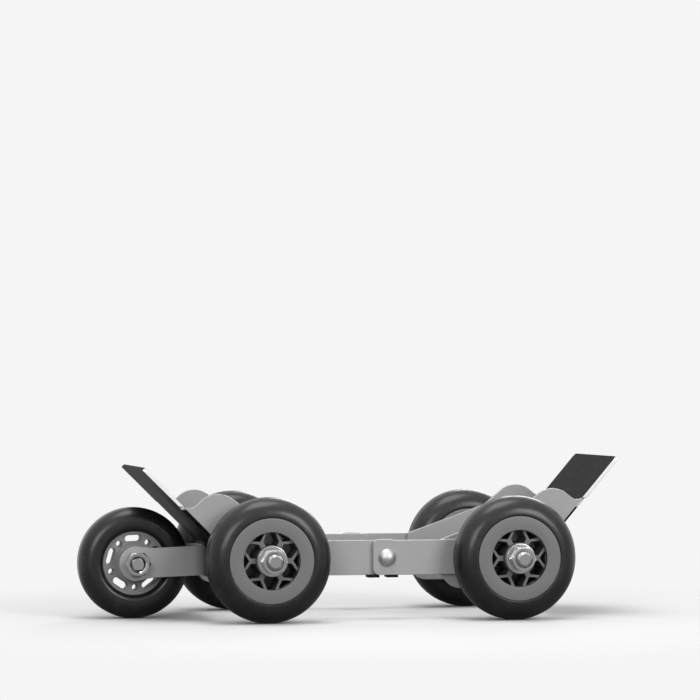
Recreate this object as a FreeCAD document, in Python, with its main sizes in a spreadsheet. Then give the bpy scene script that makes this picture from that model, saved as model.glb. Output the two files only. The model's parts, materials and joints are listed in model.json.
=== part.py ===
"""Motorcycle mover dolly: a low five-wheeled frame with two sloping plates that face each other.

Front is the end with the small lead wheel, at -X. Left is -Y, and +Z is up. The origin lies on the
floor under the middle of the dolly. Lengths are in millimetres and angles in degrees.
"""
import FreeCAD, Part
import math
import os

import Sketcher

SIZES = {
    # Layout: axles and side plates
    "wheelbase": 202.0,
    "plate_gap": 112.0,
    "plate_thickness": 4.0,
    # Load wheel: rubber tyre on a moulded hub with a star of forked spokes
    "wheel_diameter": 100.0,
    "tyre_width": 34.0,
    "tyre_crown_share": 0.975,
    "hub_share": 0.68,
    "hub_proud": 0.2,
    "hub_edge_round": 0.8,
    "ring_bore_share": 0.668,
    "boss_wall": 2.35,
    "star_inset": 4.2,
    "star_stem_width": 4.4,
    "stem_end_share": 0.38,
    "large_window_angle": 7.6,
    "small_window_angle": 15.8,
    "window_root_share": 0.5,
    "window_round": 0.8,
    # Lead wheel: smaller, with a thick disc that has slots and holes
    "lead_gap": 10.8,
    "lead_diameter": 90.0,
    "lead_tyre_width": 30.0,
    "lead_crown_share": 0.8,
    "lead_cheek_share": 0.68,
    "lead_hub_share": 0.571,
    "lead_rim_depth": 2.0,
    "lead_rim_width": 19.0,
    "lead_web": 17.0,
    "lead_flange_width": 3.5,
    "lead_flange_rise": 1.5,
    "slot_circle_share": 0.77,
    "slot_length": 13.6,
    "slot_width": 5.6,
    "slot_angle": 92.0,
    "vent_diameter": 5.0,
    # Bearings and axles
    "axle_diameter": 12.0,
    "sleeve_wall": 2.0,
    "bush_wall": 2.0,
    "running_clearance": 0.05,
    "bolt_clearance": 0.1,
    "seat_gap": 0.02,
    "end_play": 0.3,
    "spacer_thickness": 1.0,
    "washer_thickness": 2.5,
    "washer_diameter": 24.0,
    "axle_hex": 18.0,
    "axle_nut_height": 10.0,
    "axle_head_height": 7.5,
    "axle_bolt_end": 3.0,
    "lead_bolt_recess": 1.5,
    "hex_chamfer_angle": 27.0,
    "countersink_share": 0.18,
    "bolt_chamfer": 1.0,
    # Side plates: a bar, a deep plate behind the wheel and a lobed ear
    "bar_height": 28.0,
    "lap_length": 11.5,
    "lap_corner_round": 5.0,
    "tab_run": 4.5,
    "tab_rise": 0.8,
    "front_flare_start": 52.0,
    "rear_flare_start": 45.0,
    "flare_round": 30.0,
    "skirt_height": 24.5,
    "skirt_run": 10.0,
    "skirt_round": 14.0,
    "skirt_fillet": 4.0,
    "skirt_end_round": 12.0,
    "gusset_run": 27.0,
    "gusset_height": 88.0,
    "gusset_round": 12.0,
    "lobe_run": 18.5,
    "lobe_round": 19.0,
    "rear_lobe_rise": 13.8,
    "front_lobe_rise": 15.8,
    "rear_dip_inset": 6.1,
    "front_dip_inset": 7.1,
    "dip_drop": 1.0,
    "dip_round": 8.0,
    # Cradle plates: foot flange, a sloping back between the ears and a wider tongue above them
    "cradle_thickness": 3.0,
    "ear_overlap": 0.5,
    "shoulder_gap": 0.3,
    "flange_x": 134.6,
    "flange_height": 29.0,
    "bend_height": 62.0,
    "bend_radius": 5.0,
    "front_slope": 44.8,
    "rear_slope": 49.5,
    "front_ear_height": 91.6,
    "rear_ear_height": 96.4,
    "tongue_length": 45.0,
    "tongue_corner_round": 4.0,
    # Lap bolts and the keepers that hold the two halves of each side in line
    "lap_bolt_diameter": 8.0,
    "dome_diameter": 14.5,
    "dome_height": 5.0,
    "dome_rim": 0.8,
    "lap_washer_diameter": 16.0,
    "lap_washer_thickness": 1.6,
    "lap_hex": 13.0,
    "lap_nut_height": 6.5,
    "lap_bolt_end": 2.0,
    "keeper_thickness": 2.5,
    "keeper_height": 24.0,
    "keeper_middle": -3.2,
    "keeper_round": 3.0,
    "lip_width": 9.5,
    "lip_gap": 6.0,
    "lip_thickness": 2.0,
    # Lead fork: one strip bent to a U, bolted to the foot flange of the front cradle plate
    "fork_side_gap": 3.5,
    "fork_thickness": 4.0,
    "fork_bend_radius": 10.0,
    "fork_height": 24.0,
    "fork_under_bend": 2.6,
    "neck_rise_share": 0.25,
    "fork_eye": 28.0,
    "fork_neck": 27.0,
    "fork_neck_round": 20.0,
    "fork_corner_round": 5.0,
    "fork_bolt_diameter": 6.0,
    "fork_bolt_spacing": 10.0,
    "fork_bolt_drop": 1.5,
    "fork_head_diameter": 11.0,
    "fork_head_height": 3.2,
    "fork_head_round": 2.0,
    "fork_hex": 10.0,
    "fork_nut_height": 5.0,
    "fork_bolt_end": 1.5,
    # Reach of every cut beyond the piece that it cuts
    "overrun": 2.0,
}
STAR_POINTS = 6
LEAD_SLOTS = 5
HEX_SIDES = 6
RIGHT_ANGLE = 90
SIDES = {"left": -1, "right": 1}
ENDS = {"front": -1, "rear": 1}

doc = FreeCAD.newDocument("MoverDolly")
sheet = doc.addObject("Spreadsheet::Sheet", "Sizes")
for row, (alias, number) in enumerate(SIZES.items(), start=1):
    sheet.set(f"A{row}", alias)
    sheet.set(f"B{row}", str(number))
    sheet.setAlias(f"B{row}", alias)
doc.recompute()


class Size:
    """A number with its formula, so that what is worked out from the sheet stays bound to it."""

    def __init__(self, value, formula):
        self.value = float(value)
        self.formula = formula

    def __add__(self, other):
        other = as_size(other)
        return Size(self.value + other.value, f"({self.formula} + {other.formula})")

    def __sub__(self, other):
        other = as_size(other)
        return Size(self.value - other.value, f"({self.formula} - {other.formula})")

    def __mul__(self, other):
        other = as_size(other)
        return Size(self.value * other.value, f"({self.formula} * {other.formula})")

    def __truediv__(self, other):
        other = as_size(other)
        return Size(self.value / other.value, f"({self.formula} / {other.formula})")

    def __radd__(self, other):
        return as_size(other) + self

    def __rmul__(self, other):
        return as_size(other) * self

    def __rsub__(self, other):
        return as_size(other) - self

    def __neg__(self):
        return self * -1


def as_size(number):
    return number if isinstance(number, Size) else Size(number, f"({float(number)})")


def sine(angle):
    return Size(math.sin(math.radians(angle.value)), f"sin({angle.formula})")


def cosine(angle):
    return Size(math.cos(math.radians(angle.value)), f"cos({angle.formula})")


def tangent(angle):
    return Size(math.tan(math.radians(angle.value)), f"tan({angle.formula})")


def root(square):
    return Size(math.sqrt(square.value), f"sqrt({square.formula})")


def smaller(first, second):
    return Size(min(first.value, second.value), f"min({first.formula}; {second.formula})")


def polar(radius, angle):
    return radius * cosine(angle), radius * sine(angle)


class Sheet:
    """Gives each size of the sheet under its own name."""


s = Sheet()
for alias, number in SIZES.items():
    setattr(s, alias, Size(number, f"Sizes.{alias}"))


# Sketches, pads and turned pieces


def bind(item, name, size):
    item.setExpression(name, as_size(size).formula)


def place(item, x=0, y=0, z=0):
    """Puts a finished piece, or a cutter, where the sizes say."""
    for axis, size in zip("xyz", (x, y, z)):
        bind(item, f"Placement.Base.{axis}", size)
    return item


def new_sketch(body, role):
    sketch = body.newObject("Sketcher::SketchObject", f"{body.Name}_sketch")
    plane = next(item for item in body.Origin.OriginFeatures if item.Role == role)
    sketch.AttachmentSupport = [(plane, "")]
    sketch.MapMode = "FlatFace"
    return sketch


def limit(sketch, size, kind, *where):
    """Adds one dimension to a sketch and binds it to the sheet."""
    size = as_size(size)
    index = sketch.addConstraint(Sketcher.Constraint(kind, *where, size.value))
    sketch.setExpression(f"Constraints[{index}]", size.formula)


def fix_point(sketch, geometry, end, across, up):
    limit(sketch, across, "DistanceX", -1, 1, geometry, end)
    limit(sketch, up, "DistanceY", -1, 1, geometry, end)


def vector(across, up):
    return FreeCAD.Vector(as_size(across).value, as_size(up).value, 0)


def arc_between(start, finish, radius):
    """Minor arc whose centre is left of the way from start to finish, or right if radius is negative."""
    chord = finish - start
    left = FreeCAD.Vector(-chord.y, chord.x, 0).normalize()
    sign = math.copysign(1, radius)
    rise = math.sqrt(radius ** 2 - (chord.Length / 2) ** 2)
    top = (start + finish) * 0.5 + left * sign * (rise - abs(radius))
    return Part.Arc(start, top, finish)


def add_outline(sketch, corners):
    """Closed outline through corners given as (across, up) and, if wanted, a rounding.

    A fourth value is the radius of the arc that leaves the corner for the next one.
    """
    corners = [tuple(corner) + (None,) * (4 - len(corner)) for corner in corners]
    count = len(corners)
    points = [vector(corner[0], corner[1]) for corner in corners]
    trims = []
    for index, corner in enumerate(corners):
        into = (points[index] - points[index - 1]).normalize()
        out = (points[(index + 1) % count] - points[index]).normalize()
        reach = 0.0
        if corner[2] is not None:
            reach = as_size(corner[2]).value * math.tan(into.getAngle(out) / 2)
        trims.append((points[index] - into * reach, points[index] + out * reach))
    edges = []
    for index, corner in enumerate(corners):
        start = trims[index][1]
        finish = trims[(index + 1) % count][0]
        if corner[3] is None:
            edges.append(sketch.addGeometry(Part.LineSegment(start, finish)))
            continue
        edges.append(sketch.addGeometry(arc_between(start, finish, corner[3].value)))
        bulge = corner[3] if corner[3].value > 0 else -corner[3]
        limit(sketch, bulge, "Radius", edges[-1])
    for index, corner in enumerate(corners):
        before = edges[index - 1]
        after = edges[index]
        before_end = 2 if corners[index - 1][3] is None else end_at(sketch, before, trims[index][0])
        after_end = 1 if corner[3] is None else end_at(sketch, after, trims[index][1])
        if corner[2] is None:
            sketch.addConstraint(Sketcher.Constraint("Coincident", before, before_end, after, after_end))
            fix_point(sketch, after, after_end, corner[0], corner[1])
            continue
        bend = sketch.addGeometry(rounding(points[index], *trims[index], as_size(corner[2]).value))
        first = end_at(sketch, bend, trims[index][0])
        sketch.addConstraint(Sketcher.Constraint("Tangent", before, before_end, bend, first))
        sketch.addConstraint(Sketcher.Constraint("Tangent", bend, 3 - first, after, after_end))
        limit(sketch, corner[2], "Radius", bend)
        mark = sketch.addGeometry(Part.Point(points[index]), True)
        sketch.addConstraint(Sketcher.Constraint("PointOnObject", mark, 1, before))
        sketch.addConstraint(Sketcher.Constraint("PointOnObject", mark, 1, after))
        fix_point(sketch, mark, 1, corner[0], corner[1])


def rounding(corner, start, finish, radius):
    """Arc that rounds a corner between its two tangent points."""
    inward = ((start + finish) * 0.5 - corner).normalize()
    half = (start - corner).getAngle(finish - corner) / 2
    return Part.Arc(start, corner + inward * (radius / math.sin(half) - radius), finish)


def end_at(sketch, geometry, point):
    """Which end of an arc lies at a point: 1 for its start, 2 for its end."""
    gap = [(sketch.getPoint(geometry, end) - point).Length for end in (1, 2)]
    return 1 if gap[0] < gap[1] else 2


def add_circle(sketch, across, up, radius):
    circle = sketch.addGeometry(Part.Circle(vector(across, up), FreeCAD.Vector(0, 0, 1), radius.value))
    fix_point(sketch, circle, 3, across, up)
    limit(sketch, radius, "Radius", circle)


def padded(name, role, corners, length, holes=(), symmetric=False):
    """Body padded from one outline: an upright outline (XZ) runs to +Y, a plan (XY) to +Z."""
    body = doc.addObject("PartDesign::Body", name)
    sketch = new_sketch(body, role)
    add_outline(sketch, corners)
    for hole in holes:
        add_circle(sketch, *hole)
    pad = body.newObject("PartDesign::Pad", f"{name}_pad")
    pad.Profile = sketch
    bind(pad, "Length", length)
    pad.SideType = "Symmetric" if symmetric else "One side"
    pad.Reversed = role == "XZ_Plane" and not symmetric
    return body


def turned(name, corners):
    """Body turned about the Y axis from a half section given as (radius, along)."""
    body = doc.addObject("PartDesign::Body", name)
    sketch = new_sketch(body, "XY_Plane")
    add_outline(sketch, corners)
    spin = body.newObject("PartDesign::Revolution", f"{name}_turning")
    spin.Profile = sketch
    spin.ReferenceAxis = (sketch, ["V_Axis"])
    spin.Angle = 360
    return body


def cut_windows(body, windows, count):
    """Cuts each outlined window through a turned body and repeats it round the axis."""
    doc.recompute()
    before = body.Shape.Volume
    for index, window in enumerate(windows):
        sketch = new_sketch(body, "XZ_Plane")
        if isinstance(window, list):
            add_outline(sketch, window)
        else:
            add_circle(sketch, *window)
        pocket = body.newObject("PartDesign::Pocket", f"{body.Name}_window_{index}")
        pocket.Profile = sketch
        pocket.Type = "ThroughAll"
        pocket.SideType = "Symmetric"
        pattern = body.newObject("PartDesign::PolarPattern", f"{body.Name}_pattern_{index}")
        pattern.Originals = [pocket]
        pattern.Axis = (sketch, ["N_Axis"])
        pattern.Angle = 360
        pattern.Occurrences = count
        body.Tip = pattern
        doc.recompute()
        if body.Shape.Volume >= before:
            raise RuntimeError(f"{body.Name}: a window cuts nothing")
        before = body.Shape.Volume


def rod(name, radius, length, along, x=0, y=0, z=0):
    """Cylinder along Y or X that starts at the given point, used as a cutter."""
    item = doc.addObject("Part::Cylinder", name)
    bind(item, "Radius", radius)
    bind(item, "Height", length)
    turn = (FreeCAD.Vector(1, 0, 0), -90) if along == "Y" else (FreeCAD.Vector(0, 1, 0), 90)
    item.Placement.Rotation = FreeCAD.Rotation(*turn)
    return place(item, x, y, z)


def joined(kind, name, first, second):
    """Boolean of two shapes: Cut, Fuse or Common."""
    item = doc.addObject(f"Part::{kind}", name)
    item.Base = first
    item.Tool = second
    return item


def nut(name, across_flats, bore, height, start=0):
    """Hexagon nut along +Y with two flats level, chamfered and countersunk; without a bore, a bolt head."""
    flank = across_flats / 2
    corner = flank / cosine(as_size(180 / HEX_SIDES))
    chamfer = (corner - flank) * tangent(s.hex_chamfer_angle)
    finish = start + height
    prism = doc.addObject("Part::Prism", f"{name}_prism")
    prism.Polygon = HEX_SIDES
    bind(prism, "Circumradius", corner)
    bind(prism, "Height", height)
    prism.Placement.Rotation = FreeCAD.Rotation(FreeCAD.Vector(1, 0, 0), -90)
    place(prism, y=start)
    section = [(flank, start), (corner, start + chamfer), (corner, finish - chamfer), (flank, finish)]
    if as_size(bore).value > 0:
        sink = bore * s.countersink_share
        section += [(bore + sink, finish), (bore, finish - sink), (bore, start + sink), (bore + sink, start)]
    else:
        section += [(0, finish), (0, start)]
    barrel = turned(f"{name}_barrel", section)
    return joined("Common", name, prism, barrel)


def ring(name, inner, outer, length, start=0):
    """Plain ring turned about Y: a washer, a sleeve or a bush."""
    return turned(name, [(inner, start), (outer, start), (outer, start + length), (inner, start + length)])


def hex_bolt(name, radius, across_flats, head_height, length):
    """Bolt along +Y: its head ends at 0, and its shank runs to its chamfered end."""
    tip = radius - s.bolt_chamfer
    shank = turned(f"{name}_shank", [
        (0, -head_height / 2), (radius, -head_height / 2), (radius, length - s.bolt_chamfer), (tip, length),
        (0, length)])
    head = nut(f"{name}_head", across_flats, 0, head_height, -head_height)
    return joined("Fuse", name, head, shank)


def facing(item, side):
    """Turns a piece that was made along +Y so that it points to -Y on the left."""
    if side < 0:
        item.Placement.Rotation = FreeCAD.Rotation(FreeCAD.Vector(0, 0, 1), 180)
    return item


# Values that several pieces share


axle_radius = s.axle_diameter / 2
axle_height = s.wheel_diameter / 2
lead_height = s.lead_diameter / 2
plate_inner = s.plate_gap / 2
plate_outer = plate_inner + s.plate_thickness
lap_outer = plate_outer + s.plate_thickness
outside = {"front": plate_outer, "rear": lap_outer}
sleeve_bore = axle_radius + s.bolt_clearance
sleeve_radius = sleeve_bore + s.sleeve_wall
bush_bore = sleeve_radius + s.running_clearance
bush_radius = bush_bore + s.bush_wall
boss_radius = bush_radius + s.boss_wall
hub_radius = s.wheel_diameter / 2 * s.hub_share
hub_width = s.tyre_width + s.hub_proud * 2
lead_hub_radius = lead_height * s.lead_hub_share
sleeve_length = hub_width + s.end_play * 2
sleeve_start = lap_outer + s.spacer_thickness
wheel_middle = sleeve_start + sleeve_length / 2
bar_bottom = axle_height - s.bar_height / 2
bar_top = axle_height + s.bar_height / 2
lap_bore = s.lap_bolt_diameter / 2 + s.bolt_clearance
flange_outer = s.flange_x + s.cradle_thickness
flange_bottom = s.bend_height - s.flange_height
fork_inside = s.lead_tyre_width + s.fork_side_gap * 2
slope = {}
ear = {}
tip = {}
for end in ENDS:
    slope[end] = getattr(s, f"{end}_slope")
    height = getattr(s, f"{end}_ear_height")
    ear[end] = (s.flange_x + (height - s.bend_height) / tangent(slope[end]), height)
    tip[end] = (ear[end][0] + s.tongue_length * cosine(slope[end]),
                height + s.tongue_length * sine(slope[end]))
lead_x = -(flange_outer + s.fork_thickness + s.lead_gap + lead_height)
front_reach = lead_height - lead_x
rear_reach = tip["rear"][0] + s.cradle_thickness * sine(slope["rear"])
middle_x = (front_reach - rear_reach) / 2
pieces = {}


def keep(name, item, x=0, y=0, z=0):
    """Names a finished piece and sets it in the part's frame."""
    item.Label = name
    pieces[name] = place(item, middle_x + x, y, z)


# Load wheels


def tyre_section(radius, hub, width, crown_share, cheek_share):
    """Half section of a tyre with a round crown; its cheeks turn in where a share is given."""
    half = width / 2
    bore = hub + s.seat_gap
    depth = radius - bore
    crown = smaller(depth, half) * crown_share
    cheek = None if cheek_share is None else (depth - crown) * cheek_share
    return [(bore, -half, cheek), (radius, -half, crown), (radius, half, crown), (bore, half, cheek)]


def make_hub(name):
    """Ring, boss and star of six forked spokes with six large and six small windows."""
    half = hub_width / 2
    web = half - s.star_inset
    rim = hub_radius
    ring_radius = rim * s.ring_bore_share
    boss = boss_radius
    bore = bush_radius + s.seat_gap
    edge = s.hub_edge_round
    body = turned(name, [
        (bore, -half), (boss, -half), (boss, -web), (ring_radius, -web), (ring_radius, -half, edge),
        (rim, -half), (rim, half), (ring_radius, half, edge), (ring_radius, web), (boss, web), (boss, half),
        (bore, half)])
    pitch = as_size(360 / STAR_POINTS)
    stem = s.star_stem_width / 2
    foot = root(boss * boss - stem * stem)
    stem_end = boss + (ring_radius - boss) * s.stem_end_share
    window_root = boss + (ring_radius - boss) * s.window_root_share

    def across_middle(x, y):
        return x * cosine(pitch) + y * sine(pitch), x * sine(pitch) - y * cosine(pitch)

    large = [
        (foot, stem),
        (stem_end, stem, s.window_round),
        polar(ring_radius, pitch / 2 - s.large_window_angle) + (None, ring_radius),
        polar(ring_radius, pitch / 2 + s.large_window_angle),
        across_middle(stem_end, stem) + (s.window_round,),
        across_middle(foot, stem) + (None, -boss)]
    small = [
        (window_root, 0, s.window_round),
        polar(ring_radius, -s.small_window_angle) + (None, ring_radius),
        polar(ring_radius, s.small_window_angle)]
    cut_windows(body, [large, small], STAR_POINTS)
    return body


def make_load_wheel(end, side):
    """One wheel with its bearing, spacer, axle bolt, washer and nut, in order from the plate outwards."""
    corner = f"{end}_{side}"
    sign = SIDES[side]
    x = ENDS[end] * s.wheelbase / 2
    spot = (x, sign * wheel_middle, axle_height)
    tread = tyre_section(s.wheel_diameter / 2, hub_radius, s.tyre_width, s.tyre_crown_share, None)
    keep(f"{corner}_tyre", turned(f"{corner}_tyre", tread), *spot)
    keep(f"{corner}_hub", make_hub(f"{corner}_hub"), *spot)
    bush = ring(f"{corner}_bush", bush_bore, bush_radius, hub_width, -hub_width / 2)
    keep(f"{corner}_bush", bush, *spot)
    sleeve = ring(f"{corner}_axle_sleeve", sleeve_bore, sleeve_radius, sleeve_length, -sleeve_length / 2)
    keep(f"{corner}_axle_sleeve", sleeve, *spot)
    spacer = ring(f"{corner}_spacer", sleeve_bore, boss_radius, sleeve_start - outside[end])
    keep(f"{corner}_spacer", facing(spacer, sign), x, sign * outside[end], axle_height)
    washer_y = sleeve_start + sleeve_length
    washer = ring(f"{corner}_washer", sleeve_bore, s.washer_diameter / 2, s.washer_thickness)
    keep(f"{corner}_washer", facing(washer, sign), x, sign * washer_y, axle_height)
    nut_y = washer_y + s.washer_thickness
    axle_nut = nut(f"{corner}_axle_nut", s.axle_hex, axle_radius + s.seat_gap, s.axle_nut_height)
    keep(f"{corner}_axle_nut", facing(axle_nut, sign), x, sign * nut_y, axle_height)
    length = nut_y + s.axle_nut_height + s.axle_bolt_end - plate_inner
    bolt = hex_bolt(f"{corner}_axle_bolt", axle_radius, s.axle_hex, s.axle_head_height, length)
    keep(f"{corner}_axle_bolt", facing(bolt, sign), x, sign * plate_inner, axle_height)


# Lead wheel and its fork


def make_lead_hub():
    """Thick disc with a low rim, five slots between five round holes, and a flanged boss."""
    rim = lead_hub_radius
    rim_inside = rim - s.lead_rim_depth
    half = s.lead_rim_width / 2
    web = s.lead_web / 2
    boss = boss_radius
    boss_half = fork_inside / 2 - s.end_play
    flange = boss + s.lead_flange_width
    flange_half = web + s.lead_flange_rise
    bore = bush_radius + s.seat_gap
    body = turned("lead_hub", [
        (bore, -boss_half), (boss, -boss_half), (boss, -flange_half), (flange, -flange_half),
        (flange, -web), (rim_inside, -web), (rim_inside, -half), (rim, -half),
        (rim, half), (rim_inside, half), (rim_inside, web), (flange, web),
        (flange, flange_half), (boss, flange_half), (boss, boss_half), (bore, boss_half)])
    circle = rim * s.slot_circle_share
    turn = s.slot_angle
    half_length = s.slot_length / 2
    half_width = s.slot_width / 2
    slot = []
    for along, out in ((-1, -1), (-1, 1), (1, 1), (1, -1)):
        radius = circle + out * half_width
        shift = along * half_length
        slot.append((radius * cosine(turn) - shift * sine(turn), radius * sine(turn) + shift * cosine(turn),
                     half_width - s.seat_gap))
    vent = polar(circle, turn + 180 / LEAD_SLOTS) + (s.vent_diameter / 2,)
    cut_windows(body, [slot, vent], LEAD_SLOTS)
    return body


def make_lead_wheel():
    spot = (lead_x, 0, lead_height)
    tread = tyre_section(lead_height, lead_hub_radius, s.lead_tyre_width, s.lead_crown_share,
                         s.lead_cheek_share)
    keep("lead_tyre", turned("lead_tyre", tread), *spot)
    keep("lead_hub", make_lead_hub(), *spot)
    boss_length = fork_inside - s.end_play * 2
    keep("lead_bush", ring("lead_bush", bush_bore, bush_radius, boss_length, -boss_length / 2), *spot)
    sleeve = ring("lead_axle_sleeve", sleeve_bore, sleeve_radius, fork_inside, -fork_inside / 2)
    keep("lead_axle_sleeve", sleeve, *spot)
    arm_outer = fork_inside / 2 + s.fork_thickness
    length = arm_outer * 2 + s.axle_nut_height - s.lead_bolt_recess
    bolt = hex_bolt("lead_axle_bolt", axle_radius, s.axle_hex, s.axle_head_height, length)
    keep("lead_axle_bolt", facing(bolt, -1), lead_x, arm_outer, lead_height)
    axle_nut = nut("lead_axle_nut", s.axle_hex, axle_radius + s.seat_gap, s.axle_nut_height)
    keep("lead_axle_nut", facing(axle_nut, -1), lead_x, -arm_outer, lead_height)


fork_middle = s.bend_height - s.fork_under_bend - s.fork_height / 2
fork_bolt_heights = [fork_middle - s.fork_bolt_drop + step * s.fork_bolt_spacing / 2 for step in (-1, 1)]


def make_lead_fork():
    """Strip bent to a U in plan and trimmed to its side outline, with round eyes at the axle."""
    arm_inner = fork_inside / 2
    arm_outer = arm_inner + s.fork_thickness
    bridge_outer = -flange_outer
    bridge_inner = bridge_outer - s.fork_thickness
    eye = s.fork_eye / 2
    nose = lead_x - eye
    outer_round = s.fork_bend_radius + s.fork_thickness
    plan_start = nose - s.overrun
    plan = padded("lead_fork_plan", "XY_Plane", [
        (plan_start, -arm_outer), (bridge_outer, -arm_outer, outer_round),
        (bridge_outer, arm_outer, outer_round), (plan_start, arm_outer),
        (plan_start, arm_inner), (bridge_inner, arm_inner, s.fork_bend_radius),
        (bridge_inner, -arm_inner, s.fork_bend_radius), (plan_start, -arm_inner)], s.wheel_diameter)
    half = s.fork_height / 2
    neck_x = lead_x + s.fork_neck - eye
    neck_z = lead_height + (fork_middle - lead_height) * s.neck_rise_share
    profile = padded("lead_fork_profile", "XZ_Plane", [
        (lead_x, lead_height - eye), (neck_x, neck_z - half, s.fork_neck_round),
        (bridge_outer, fork_middle - half, s.fork_corner_round),
        (bridge_outer, fork_middle + half, s.fork_corner_round),
        (neck_x, neck_z + half, s.fork_neck_round), (lead_x, lead_height + eye, None, eye),
        (nose, lead_height, None, eye)],
        s.plate_gap, symmetric=True)
    strip = joined("Common", "lead_fork_strip", profile, plan)
    cutters = [rod("lead_fork_axle_hole", sleeve_bore, s.plate_gap, "Y", lead_x, -plate_inner, lead_height)]
    cutters += fork_holes("lead_fork", bridge_inner)
    keep("lead_fork", drilled("lead_fork", strip, cutters))


def fork_holes(name, start):
    """Cutters for the two bolts that hold the fork to the foot flange."""
    radius = s.fork_bolt_diameter / 2 + s.bolt_clearance
    length = s.fork_thickness + s.cradle_thickness + s.overrun * 2
    return [rod(f"{name}_bolt_hole_{index}", radius, length, "X", start - s.overrun, 0, height)
            for index, height in enumerate(fork_bolt_heights)]


def drilled(name, blank, cutters):
    for index, cutter in enumerate(cutters):
        blank = joined("Cut", f"{name}_drilled_{index}", blank, cutter)
    return blank


def along_x(item, sign):
    """Turns a piece made along +Y so that it points along +X or -X."""
    item.Placement.Rotation = FreeCAD.Rotation(FreeCAD.Vector(0, 0, 1), -90 * sign)
    return item


def make_fork_fasteners():
    """Round-head bolts from inside the fork, with nuts behind the foot flange."""
    radius = s.fork_bolt_diameter / 2
    head = s.fork_head_diameter / 2
    bridge_inner = -flange_outer - s.fork_thickness
    grip = s.fork_thickness + s.cradle_thickness
    length = grip + s.fork_nut_height + s.fork_bolt_end
    bolts = []
    nuts = []
    for index, height in enumerate(fork_bolt_heights):
        bolt = turned(f"fork_bolt_{index}", [
            (0, -s.fork_head_height), (head, -s.fork_head_height, s.fork_head_round), (head, 0), (radius, 0),
            (radius, length), (0, length)])
        bolts.append(place(along_x(bolt, 1), bridge_inner, 0, height))
        fork_nut = nut(f"fork_nut_{index}", s.fork_hex, radius + s.seat_gap, s.fork_nut_height)
        nuts.append(place(along_x(fork_nut, 1), -s.flange_x, 0, height))
    for name, group in (("fork_bolts", bolts), ("fork_nuts", nuts)):
        item = doc.addObject("Part::Compound", name)
        item.Links = group
        keep(name, item)


# Side plates, cradle plates and the lap between the two halves


def deep_outline(end):
    """Side view of the deep plate behind a wheel; X runs outwards from the middle of the wheelbase."""
    ear_x, ear_z = ear[end]
    dip_x = ear_x - getattr(s, f"{end}_dip_inset")
    lobe_x = dip_x - s.lobe_run
    apex = ear_z + getattr(s, f"{end}_lobe_rise")
    flare_x = getattr(s, f"{end}_flare_start")
    end_x = s.flange_x + s.ear_overlap
    end_bend = s.bend_height - s.ear_overlap * tangent((RIGHT_ANGLE - slope[end]) / 2)
    end_round = s.bend_radius + s.cradle_thickness - s.ear_overlap
    return [
        (flare_x, bar_bottom, s.skirt_fillet),
        (flare_x + s.skirt_run, s.skirt_height, s.skirt_round),
        (end_x, s.skirt_height, s.skirt_end_round),
        (end_x, end_bend, end_round),
        (ear_x + s.ear_overlap * sine(slope[end]), ear_z - s.ear_overlap * cosine(slope[end])),
        (dip_x, ear_z - s.dip_drop, s.dip_round),
        (lobe_x, apex, s.lobe_round),
        (lobe_x - s.gusset_run, s.gusset_height, s.gusset_round),
        (flare_x, bar_top, s.flare_round)]


def make_front_plate(side):
    """Flat plate: a bar that widens to the deep plate and its ear."""
    name = f"front_{side}_side_plate"
    outline = [(-s.lap_length, bar_bottom, s.lap_corner_round)] + deep_outline("front")
    outline += [(-s.lap_length, bar_top, s.lap_corner_round)]
    holes = [(-s.wheelbase / 2, axle_height, sleeve_bore), (as_size(0), axle_height, lap_bore)]
    mirrored = [(-x, z) + tuple(rest) for x, z, *rest in outline]
    plate = padded(name, "XZ_Plane", mirrored, s.plate_thickness, holes)
    keep(name, plate, 0, plate_inner if SIDES[side] > 0 else -plate_outer)


def make_rear_plate(side):
    """Deep plate with an ear, and a bar welded on its outside that laps over the front bar."""
    name = f"rear_{side}_side_plate"
    axle_x = s.wheelbase / 2
    half = s.bar_height / 2
    tab_top = bar_top + s.tab_rise
    axle_hole = (axle_x, axle_height, sleeve_bore)
    first, *middle, last = deep_outline("rear")
    deep = padded(f"{name}_deep", "XZ_Plane", [first[:2], *middle, last[:2]], s.plate_thickness, [axle_hole])
    bar = padded(f"{name}_bar", "XZ_Plane", [
        (-s.lap_length, bar_bottom, s.lap_corner_round), (axle_x, bar_bottom, None, half),
        (axle_x + half, axle_height, None, half), (axle_x, bar_top), (s.tab_run + s.tab_rise, bar_top),
        (s.tab_run, tab_top), (-s.lap_length, tab_top, s.lap_corner_round)],
        s.plate_thickness, [axle_hole, (as_size(0), axle_height, lap_bore)])
    place(bar, y=SIDES[side] * s.plate_thickness)
    welded = joined("Fuse", f"{name}_welded", deep, bar)
    keep(name, welded, 0, plate_inner if SIDES[side] > 0 else -plate_outer)


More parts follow.
